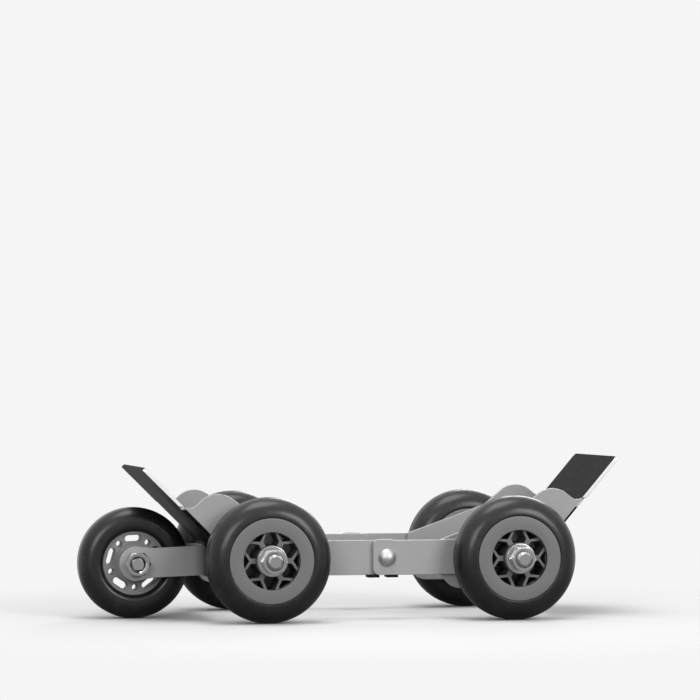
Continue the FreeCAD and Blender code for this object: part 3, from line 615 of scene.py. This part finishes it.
def thread_growth(sizes):
    """Tree of the threads: one helical ridge on each point, turned and sized by the point's attributes."""
    grow = Growth("threads", {
        "Pitch": sizes.thread_pitch, "Depth": sizes.thread_depth, "Turns": THREAD_TURNS})
    start = grow.start
    depth = grow.input("Depth")
    helix = start.node("GeometryNodeCurveSpiral", {}, {
        "Resolution": THREAD_STEPS, "Rotations": grow.input("Turns"), "Start Radius": 1.0, "End Radius": 1.0,
        "Height": grow.input("Pitch") * grow.input("Turns")})
    ridge = start.node("GeometryNodeCurvePrimitiveCircle", {"mode": "RADIUS"}, {
        "Resolution": THREAD_SIDES, "Radius": depth})
    swept = start.node("GeometryNodeCurveToMesh", {}, {
        "Curve": helix, "Profile Curve": ridge, "Fill Caps": True})
    sunk = start.node("GeometryNodeTransform", {}, {
        "Geometry": swept, "Scale": start.at(1.0 - depth, 1.0 - depth, 1.0)})
    turn, size = [start.node("GeometryNodeInputNamedAttribute", {"data_type": "FLOAT_VECTOR"}, {"Name": name})
                  for name in ("turn", "size")]
    points = start.node("GeometryNodeMeshToPoints", {}, {"Mesh": grow.input("Geometry")})
    repeated = start.node("GeometryNodeInstanceOnPoints", {}, {
        "Points": points, "Instance": sunk, "Rotation": turn, "Scale": size})
    grow.close(repeated, material_for("zinc_steel"))
    return grow


def weld_growth(sizes):
    """Tree of the welds: overlapping ripples along rounded paths."""
    grow = Growth("welds", {
        "Leg": sizes.weld_leg, "Step": sizes.weld_step, "Bend": sizes.bend_round, "Seed": 4})
    start = grow.start
    path = start.node("GeometryNodeMeshToCurve", {}, {"Mesh": grow.input("Geometry")})
    bent = start.node("GeometryNodeFilletCurve", {"mode": "POLY"}, {
        "Curve": path, "Count": WELD_BEND_STEPS, "Radius": grow.input("Bend"), "Limit Radius": True})
    points = start.node("GeometryNodeResampleCurve", {"mode": "LENGTH"}, {
        "Curve": bent, "Length": grow.input("Step")})
    ripple = start.node("GeometryNodeMeshIcoSphere", {}, {"Radius": 1.0, "Subdivisions": 2})
    smooth = start.node("GeometryNodeSetShadeSmooth", {}, {"Geometry": ripple})
    along = start.node("FunctionNodeAlignRotationToVector", {"axis": "Z"}, {
        "Vector": start.node("GeometryNodeInputTangent")})
    least, most = WELD_UNEVEN
    uneven = start.node("FunctionNodeRandomValue", {"data_type": "FLOAT"}, {
        2: least, 3: most, "Seed": grow.input("Seed")}, 1)
    leg = grow.input("Leg") * uneven
    size = start.at(leg, leg, grow.input("Step") * WELD_OVERLAP)
    beads = start.node("GeometryNodeInstanceOnPoints", {}, {
        "Points": points, "Instance": smooth, "Rotation": along, "Scale": size})
    grow.close(beads, material_for("cradle_paint"))
    return grow


# Meshes


def slot_of(node):
    """Material slot that the record gives a node."""
    return next(part["material_slot"] for part in frame["record"]["subparts"] if part["node"] == node)


def body_of(node):
    """Body that a node rides on."""
    return next(body for body, nodes in frame["record"]["behaviour"]["bodies"].items() if node in nodes)


def placed(piece, node):
    """Gives a piece the finish and the body of the CAD node that it stands for."""
    slot = slot_of(node)
    piece.data.materials.clear()
    piece.data.materials.append(material_for(slot))
    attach(piece, body_of(node))
    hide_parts(node)
    return piece


def grown(mesh, growth):
    """Piece grown from the points and edges of a mesh; it rides on the frame and stands for no CAD node."""
    piece = new_object(mesh.name, mesh)
    growth.put_on(piece)
    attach(settled(piece), "frame")


def measures(node):
    """Middle of a CAD node, half its size along Y, and half its height."""
    low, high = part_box(node)
    return (low + high) / 2, (high.y - low.y) / 2, (high.z - low.z) / 2


def wheels_middle():
    """Place along X of the middle of the four load wheels."""
    return sum(measures(f"{corner}_hub")[0].x for corner in CORNERS) / len(CORNERS)


def bevelled(piece, radius, segments=2):
    """Rounds the sharp edges of a piece once its modifiers are settled."""
    bevel = piece.modifiers.new("edges", "BEVEL")
    bevel.width = radius
    bevel.segments = segments
    bevel.limit_method = "ANGLE"
    bevel.angle_limit = SHARP_ANGLE
    bevel.use_clamp_overlap = False
    bevel.harden_normals = True
    return piece


def rounded_copy(node, radius, segments=2):
    """Copy of a CAD node with its corners merged and its sharp edges rounded."""
    build = bmesh.new()
    build.from_mesh(frame["nodes"][node].data)
    bmesh.ops.remove_doubles(build, verts=build.verts, dist=MERGE_DISTANCE)
    bmesh.ops.dissolve_limit(build, angle_limit=FLAT_ANGLE, verts=build.verts, edges=build.edges)
    for face in build.faces:
        face.smooth = True
    for edge in build.edges:
        edge.smooth = not CREASE_ANGLE < edge.calc_face_angle(0) < SHARP_ANGLE
    mesh = bpy.data.meshes.new(f"{node}_rounded")
    build.to_mesh(mesh)
    build.free()
    custom = mesh.attributes.get("custom_normal")
    if custom:
        mesh.attributes.remove(custom)
    piece = bevelled(new_object(f"{node}_finished", mesh), radius, segments)
    return placed(settled(piece), node)


def softened(corners, radius, steps=3):
    """Closed section through (radius, offset) corners, each rounded off by a radius."""
    points = []
    for index, corner in enumerate(corners):
        here = Vector(corner)
        before = Vector(corners[index - 1]) - here
        after = Vector(corners[(index + 1) % len(corners)]) - here
        reach = min(radius, before.length * ROUND_SHARE, after.length * ROUND_SHARE)
        if reach == 0:
            points.append(corner)
            continue
        first = here + before.normalized() * reach
        last = here + after.normalized() * reach
        for step in range(steps + 1):
            share = step / steps
            points.append(tuple(first.lerp(here, share).lerp(here.lerp(last, share), share)))
    return points


def ring_section(inner, outer, half, radius):
    """Rounded section of a plain ring."""
    return softened([(inner, -half), (outer, -half), (outer, half), (inner, half)], radius)


def turn_rings(build, centre, section_at, steps, closed=True):
    """Turns a section about an axle along Y; section_at gives its (radius, offset) points at an angle."""
    rings = []
    poles = {}
    for step in range(steps):
        turn = math.tau * step / steps
        ring = []
        for index, (radius, offset) in enumerate(section_at(turn)):
            if radius == 0 and index in poles:
                ring.append(poles[index])
                continue
            point = build.verts.new((centre.x + radius * math.cos(turn), centre.y + offset,
                                     centre.z + radius * math.sin(turn)))
            if radius == 0:
                poles[index] = point
            ring.append(point)
        rings.append(ring)
    for step in range(steps):
        here = rings[step]
        there = rings[(step + 1) % steps]
        for index in range(len(here) if closed else len(here) - 1):
            after = (index + 1) % len(here)
            corners = [here[index], here[after], there[after], there[index]]
            build.faces.new(list(dict.fromkeys(corners)))


def turned_object(name, build, sharp_angle=TURNED_ANGLE):
    """Object from turned rings, with its faces outwards and its smooth and sharp edges marked."""
    bmesh.ops.recalc_face_normals(build, faces=build.faces)
    mesh = bpy.data.meshes.new(name)
    build.to_mesh(mesh)
    build.free()
    mesh.shade_smooth()
    mesh.set_sharp_from_angle(angle=sharp_angle)
    return new_object(name, mesh)


def lathed(name, section, centre, steps, closed=True):
    """Piece made by turning a section of (radius, offset along Y) points about an axle."""
    build = bmesh.new()
    turn_rings(build, centre, lambda turn: section, steps, closed)
    return turned_object(name, build)


def arc(centre, radius, first, last, steps):
    """Points on an arc in the (radius, offset) plane, by angles in degrees from the offset axis."""
    angles = [math.radians(first + (last - first) * step / steps) for step in range(steps + 1)]
    return [(centre[0] + radius * math.sin(angle), centre[1] + radius * math.cos(angle)) for angle in angles]


def hexagon(flank, turn):
    """Distance from the axis to a hexagon's side at an angle, with two sides level."""
    share = math.pi / HEX_SIDES
    return flank / math.cos(turn % (2 * share) - share)


def hex_rim(flank, turn, face, inwards):
    """Points from a hexagon's face over its chamfer to its side; inwards is the sign from the face on."""
    corner = hexagon(flank, turn)
    chamfer = face + ((corner - flank) * HEX_CHAMFER + RIM_DROP) * inwards
    return [(flank * HEX_FLAT, face), (corner - RIM_BEVEL, chamfer), (corner, chamfer + RIM_BEVEL * inwards)]


def nut_section(flank, bore, half, turn):
    """Section of a chamfered, countersunk nut at an angle round its axis."""
    sink = bore * COUNTERSINK
    low = [(bore, sink - half), (bore + sink, -half)] + hex_rim(flank, turn, -half, 1)
    high = hex_rim(flank, turn, half, -1)[::-1] + [(bore + sink, half), (bore, half - sink)]
    return low + high


def head_section(flank, low, high, turn):
    """Section of a bolt's hexagon head at an angle; the head's face is at its low end."""
    corner = hexagon(flank, turn)
    return [(0, low)] + hex_rim(flank, turn, low, 1) + [
        (corner, high - RIM_BEVEL), (corner - RIM_BEVEL, high), (0, high)]


def core_of(shank, sizes):
    """Radius of a bolt under its thread."""
    return shank * (1 - sizes.thread_depth * THREAD_CORE)


# Operators


class DOLLY_OT_tyres(bpy.types.Operator):
    """Turns the four load tyres with their lips and mould lines"""
    bl_idname = "dolly.tyres"
    bl_label = "Tyres"

    def execute(self, context):
        sizes, _ = settings()
        for corner in CORNERS:
            node = f"{corner}_tyre"
            centre, half, radius = measures(node)
            bore = measures(f"{corner}_hub")[2]
            crown = (radius - bore) * CROWN_SHARE
            lip = sizes.bore_round
            blend = lip * LIP_BLEND
            flash = sizes.flash_width / 2
            tread = radius - sizes.flash_height
            side = [(bore, half - lip * 2)] + arc((bore + lip, half - lip), lip, *LIP_ARC, LIP_STEPS)
            side += arc((radius - crown + blend, half - crown + blend), crown - blend, *SHOULDER_ARC,
                        sizes.section_steps)
            side += [(tread, flash * FLASH_FOOT), (tread, flash), (radius, flash * FLASH_TOP)]
            section = side + [(r, -y) for r, y in reversed(side)]
            placed(lathed(f"{node}_finished", section, centre, sizes.tyre_steps), node)
        return {"FINISHED"}


class DOLLY_OT_lead_wheel(bpy.types.Operator):
    """Rounds the lips of the lead tyre and the moulded edges of its hub"""
    bl_idname = "dolly.lead_wheel"
    bl_label = "Lead wheel"

    def execute(self, context):
        sizes, _ = settings()
        rounded_copy("lead_tyre", sizes.bore_round, segments=3)
        rounded_copy("lead_hub", sizes.mould_round)
        return {"FINISHED"}


class DOLLY_OT_hubs(bpy.types.Operator):
    """Makes the star hubs: a turned ring and boss, joined by a grown star"""
    bl_idname = "dolly.hubs"
    bl_label = "Star hubs"

    def execute(self, context):
        sizes, _ = settings()
        for corner in CORNERS:
            node = f"{corner}_hub"
            centre, half, radius = measures(node)
            star = new_object(f"{corner}_star", bpy.data.meshes.new(f"{corner}_star"))
            star_growth(centre, half, sizes).put_on(star)
            settled(bevelled(star, sizes.rib_round))
            build = bmesh.new()
            ring = ring_section(sizes.ring_bore, radius, half, sizes.ring_round)
            boss = ring_section(sizes.boss_bore, sizes.boss, half, sizes.turned_round)
            turn_rings(build, centre, lambda turn: ring, sizes.tyre_steps)
            turn_rings(build, centre, lambda turn: boss, sizes.tyre_steps // 2)
            piece = turned_object(f"{node}_finished", build)
            self.join(piece, star)
            placed(piece, node)
        return {"FINISHED"}

    def join(self, piece, other):
        """Moves the mesh of one object into another."""
        with bpy.context.temp_override(active_object=piece, object=piece, selected_objects=[piece, other],
                                       selected_editable_objects=[piece, other]):
            bpy.ops.object.join()


class DOLLY_OT_plates(bpy.types.Operator):
    """Rounds the edges of the side plates, cradle plates, fork and keepers"""
    bl_idname = "dolly.plates"
    bl_label = "Plates"

    def execute(self, context):
        sizes, _ = settings()
        nodes = [f"{corner}_side_plate" for corner in CORNERS] + [f"{end}_cradle_plate" for end in ENDS]
        nodes += ["lead_fork"] + [f"{side}_lap_keeper" for side in SIDES]
        for node in nodes:
            rounded_copy(node, sizes.plate_round)
        return {"FINISHED"}


class DOLLY_OT_nuts(bpy.types.Operator):
    """Makes the axle nuts and lap nuts, chamfered and countersunk"""
    bl_idname = "dolly.nuts"
    bl_label = "Nuts"

    def execute(self, context):
        shanks = {f"{wheel}_axle_nut": AXLE_SHANK for wheel in CORNERS + ["lead"]}
        shanks.update({f"{side}_lap_nut": LAP_SHANK for side in SIDES})
        for node, shank in shanks.items():
            centre, half, flank = measures(node)
            bore = shank + NUT_PLAY
            build = bmesh.new()
            turn_rings(build, centre, lambda turn: nut_section(flank, bore, half, turn), TURNED_STEPS)
            placed(turned_object(f"{node}_finished", build, HEX_ANGLE), node)
        return {"FINISHED"}


class DOLLY_OT_turned(bpy.types.Operator):
    """Turns the washers, spacers and bolts with their rounded edges and chamfers"""
    bl_idname = "dolly.turned"
    bl_label = "Washers, spacers and bolts"

    def execute(self, context):
        sizes, _ = settings()
        shanks = {f"{corner}_{kind}": AXLE_SHANK for corner in CORNERS for kind in ("washer", "spacer")}
        shanks.update({f"{side}_lap_washer": LAP_SHANK for side in SIDES})
        for node, shank in shanks.items():
            centre, half, outer = measures(node)
            section = ring_section(shank + WASHER_PLAY, outer, half, sizes.turned_round)
            placed(lathed(f"{node}_finished", section, centre, TURNED_STEPS), node)
        for corner in CORNERS:
            self.axle_bolt(f"{corner}_axle_bolt", -SIDES[corner.split("_")[1]], sizes)
        self.axle_bolt("lead_axle_bolt", 1, sizes)
        for side, sign in SIDES.items():
            self.dome_bolt(f"{side}_lap_bolt", sign, sizes)
        return {"FINISHED"}

    def axle_bolt(self, node, head_side, sizes):
        """Hexagon bolt; head_side is the sign of Y at which its head lies."""
        centre, half, _ = measures(node)
        neck = AXLE_HEAD - half
        core = core_of(AXLE_SHANK, sizes)
        chamfer = sizes.bolt_chamfer
        rod = [(0, neck - HEAD_OVERLAP), (AXLE_SHANK, neck - HEAD_OVERLAP),
               (AXLE_SHANK, half - AXLE_THREAD - THREAD_RUNOUT), (core, half - AXLE_THREAD),
               (core, half - chamfer * CHAMFER_SHARE), (AXLE_SHANK - chamfer, half), (0, half)]

        def outwards(section):
            """The section with its head on head_side."""
            return [(radius, -offset * head_side) for radius, offset in section]

        build = bmesh.new()
        turn_rings(build, centre, lambda turn: outwards(head_section(AXLE_FLANK, -half, neck, turn)),
                   TURNED_STEPS, closed=False)
        turn_rings(build, centre, lambda turn: outwards(rod), TURNED_STEPS, closed=False)
        placed(turned_object(f"{node}_finished", build, HEX_ANGLE), node)

    def dome_bolt(self, node, sign, sizes):
        """Dome-head bolt in satin zinc; sign is the side of Y at which its head lies."""
        centre, half, dome = measures(node)
        sphere = (dome * dome + DOME_RISE * DOME_RISE) / 2 / DOME_RISE
        spread = math.degrees(math.asin(dome / sphere))
        cap = arc((0, half - sphere), sphere, 0, spread, DOME_STEPS)
        core = core_of(LAP_SHANK, sizes)
        seat = half - DOME_RISE - DOME_RIM
        section = cap + [(dome, seat), (LAP_SHANK, seat), (LAP_SHANK, LAP_THREAD + THREAD_RUNOUT - half),
                         (core, LAP_THREAD - half), (core, LAP_CHAMFER - half), (core - LAP_CHAMFER, -half),
                         (0, -half)]
        turned = [(radius, offset * sign) for radius, offset in section]
        piece = placed(lathed(f"{node}_finished", turned, centre, TURNED_STEPS, closed=False), node)
        piece.data.materials[0] = material_for("satin_zinc")


class DOLLY_OT_threads(bpy.types.Operator):
    """Grows the threads on the ends of the bolts"""
    bl_idname = "dolly.threads"
    bl_label = "Threads"

    def execute(self, context):
        sizes, _ = settings()
        bolts = []
        for corner in CORNERS:
            way = SIDES[corner.split("_")[1]]
            end = self.end_of(f"{corner}_axle_bolt", f"{corner}_hub", way)
            bolts.append((end, AXLE_SHANK, sizes.bolt_chamfer, way))
        for side, sign in SIDES.items():
            node = f"{side}_lap_bolt"
            bolts.append((self.end_of(node, node, -sign), LAP_SHANK, LAP_CHAMFER, -sign))
        reach = sizes.thread_pitch * THREAD_TURNS * THREAD_REACH
        mesh = bpy.data.meshes.new("bolt_threads")
        mesh.from_pydata([end - Vector((0, way * (chamfer + reach * shank), 0))
                          for end, shank, chamfer, way in bolts], [], [])
        turns = mesh.attributes.new("turn", "FLOAT_VECTOR", "POINT")
        scale = mesh.attributes.new("size", "FLOAT_VECTOR", "POINT")
        for index, (_, shank, _, way) in enumerate(bolts):
            turns.data[index].vector = (-math.pi / 2 * way, 0, 0)
            scale.data[index].vector = (shank, shank, shank)
        grown(mesh, thread_growth(sizes))
        return {"FINISHED"}

    def end_of(self, node, axle, way):
        """Middle of a bolt's end on the side of Y that way gives, on the axis of an axle's piece."""
        low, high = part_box(node)
        middle = measures(axle)[0]
        return Vector((middle.x, high.y if way > 0 else low.y, middle.z))


class DOLLY_OT_welds(bpy.types.Operator):
    """Grows the welds in the inner corners between the cradle plates and the side plates"""
    bl_idname = "dolly.welds"
    bl_label = "Welds"

    def execute(self, context):
        sizes, _ = settings()
        middle = wheels_middle()
        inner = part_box("front_right_side_plate")[0].y - WELD_OFFSET
        spots = []
        edges = []
        for end, way in ENDS.items():
            slope = getattr(sizes, f"{end}_slope")
            run = (sizes.weld_top - sizes.bend) / math.tan(slope)
            outline = [(sizes.flange, sizes.flange_bottom + WELD_START), (sizes.flange, sizes.bend),
                       (sizes.flange + run, sizes.weld_top)]
            for side in SIDES.values():
                first = len(spots)
                spots += [(middle + way * (x - WELD_OFFSET), side * inner, z) for x, z in outline]
                edges += [(index, index + 1) for index in range(first, len(spots) - 1)]
        mesh = bpy.data.meshes.new("corner_welds")
        mesh.from_pydata(spots, edges, [])
        grown(mesh, weld_growth(sizes))
        return {"FINISHED"}


class DOLLY_OT_hidden(bpy.types.Operator):
    """Gives the sleeves, bushes and fork fasteners their finishes"""
    bl_idname = "dolly.hidden"
    bl_label = "Sleeves, bushes and fork fasteners"

    def execute(self, context):
        nodes = [f"{wheel}_{kind}" for wheel in CORNERS + ["lead"] for kind in ("axle_sleeve", "bush")]
        for name in nodes + ["fork_bolts", "fork_nuts"]:
            frame["nodes"][name].material_slots[0].material = material_for(slot_of(name))
        return {"FINISHED"}


class DOLLY_OT_stage(bpy.types.Operator):
    """Sets the floor, the light and the camera"""
    bl_idname = "dolly.stage"
    bl_label = "Stage"

    def execute(self, context):
        _, colours = settings()
        self.add_floor(colours)
        self.add_world(colours)
        self.add_lamps()
        self.add_camera(context.scene)
        context.scene.view_settings.view_transform = "Standard"
        return {"FINISHED"}

    def add_floor(self, colours):
        """Wide floor that fades into the background away from the dolly."""
        corners = [(-1, -1), (1, -1), (1, 1), (-1, 1)]
        mesh = bpy.data.meshes.new("floor")
        mesh.from_pydata([(x * FLOOR_REACH, y * FLOOR_REACH, 0) for x, y in corners], [], [(0, 1, 2, 3)])
        floor = new_object("floor", mesh)
        finish = Finish("floor_finish")
        start = finish.start
        grain = finish.noise(scale=35)
        distance = start.node("ShaderNodeVectorMath", {"operation": "LENGTH"}, {0: finish.place}, "Value")
        seen = start.node("ShaderNodeLightPath", output="Is Camera Ray")
        pale = grain.mix(rgba(colours.floor, 0.985), rgba(colours.floor))
        shader = start.node("ShaderNodeBsdfPrincipled", {}, {
            "Base Color": seen.mix(rgba(colours.floor_bounce), pale), "Roughness": 0.55,
            "Specular IOR Level": 0.0})
        clear = start.node("ShaderNodeBsdfTransparent")
        mixed = start.node("ShaderNodeMixShader", {}, {0: distance.ramp(*FLOOR_FADE), 1: shader, 2: clear})
        start.node("ShaderNodeOutputMaterial", {}, {"Surface": mixed})
        mesh.materials.append(finish.material)

    def add_world(self, colours):
        """Soft light from above, a pale background, and reflections of it that darken behind the camera."""
        world = bpy.data.worlds.new("studio")
        world.use_nodes = True
        world.node_tree.nodes.clear()
        start = Wire(world.node_tree)
        seen, glossy, through = [start.node("ShaderNodeLightPath", output=f"Is {kind} Ray")
                                 for kind in ("Camera", "Glossy", "Transmission")]
        way = start.node("ShaderNodeTexCoord", output="Generated")
        up = way.part("Z")
        light = up.ramp(*SKY_FADE).mix(rgba(colours.sky_low), rgba(colours.sky_high))
        room = way.part("Y").ramp(*ROOM_FADE).mix(rgba(colours.room), rgba(colours.backdrop))
        mirrored = up.ramp(*CEILING_FADE).mix(room, rgba(colours.ceiling))
        soft, shine, pale = [start.node("ShaderNodeBackground", {}, {"Color": colour})
                             for colour in (light, mirrored, rgba(colours.backdrop))]
        lit = start.node("ShaderNodeMixShader", {}, {0: glossy, 1: soft, 2: shine})
        shown = seen.maths("MAXIMUM", seen, through)
        mixed = start.node("ShaderNodeMixShader", {}, {0: shown, 1: lit, 2: pale})
        start.node("ShaderNodeOutputWorld", {}, {"Surface": mixed})
        bpy.context.scene.world = world

    def add_lamps(self):
        """Broad lamps overhead, in front to the camera's right and left, and behind the dolly."""
        for name, (place, size, power) in LAMPS.items():
            lamp = bpy.data.lights.new(name, "AREA")
            lamp.energy = power
            lamp.size = size
            holder = bpy.data.objects.new(name, lamp)
            holder.location = place
            holder.rotation_euler = (LAMP_TARGET - Vector(place)).to_track_quat("-Z", "Y").to_euler()
            bpy.context.scene.collection.objects.link(holder)

    def add_camera(self, scene):
        """Camera fitted to the photograph, placed from the middle of the four load wheels."""
        lens = bpy.data.cameras.new("camera")
        lens.sensor_width = SENSOR_MM
        lens.lens = FOCAL_PIXELS / IMAGE_PIXELS * SENSOR_MM
        camera = bpy.data.objects.new("camera", lens)
        camera.location = Vector((wheels_middle(), 0, 0)) + CAMERA_FROM_WHEELS
        camera.rotation_euler = Euler((math.pi / 2 + CAMERA_PITCH, 0, -CAMERA_YAW))
        scene.collection.objects.link(camera)
        scene.camera = camera


class DOLLY_PT_finish(bpy.types.Panel):
    """Lists the dolly's settings and pieces in the sidebar"""
    bl_idname = "DOLLY_PT_finish"
    bl_label = "Mover dolly"
    bl_space_type = "VIEW_3D"
    bl_region_type = "UI"
    bl_category = "Dolly"

    def draw(self, context):
        for group in settings():
            box = self.layout.box()
            for name in group.bl_rna.properties.keys():
                if name not in ("rna_type", "name"):
                    box.prop(group, name)
        for operator in OPERATORS:
            self.layout.operator(operator.bl_idname)


OPERATORS = [DOLLY_OT_tyres, DOLLY_OT_lead_wheel, DOLLY_OT_hubs, DOLLY_OT_plates, DOLLY_OT_nuts,
             DOLLY_OT_turned, DOLLY_OT_threads, DOLLY_OT_welds, DOLLY_OT_hidden, DOLLY_OT_stage]
CLASSES = [DollySizes, DollyColours] + OPERATORS + [DOLLY_PT_finish]


def register():
    for kind in CLASSES:
        bpy.utils.register_class(kind)
    bpy.types.Scene.dolly_sizes = PointerProperty(type=DollySizes)
    bpy.types.Scene.dolly_colours = PointerProperty(type=DollyColours)


def unregister():
    del bpy.types.Scene.dolly_colours
    del bpy.types.Scene.dolly_sizes
    for kind in reversed(CLASSES):
        bpy.utils.unregister_class(kind)


def main():
    register()
    bpy.ops.dolly.tyres()
    bpy.ops.dolly.lead_wheel()
    bpy.ops.dolly.hubs()
    bpy.ops.dolly.plates()
    bpy.ops.dolly.nuts()
    bpy.ops.dolly.turned()
    bpy.ops.dolly.threads()
    bpy.ops.dolly.welds()
    bpy.ops.dolly.hidden()
    bpy.ops.dolly.stage()


if __name__ == "__main__":
    main()
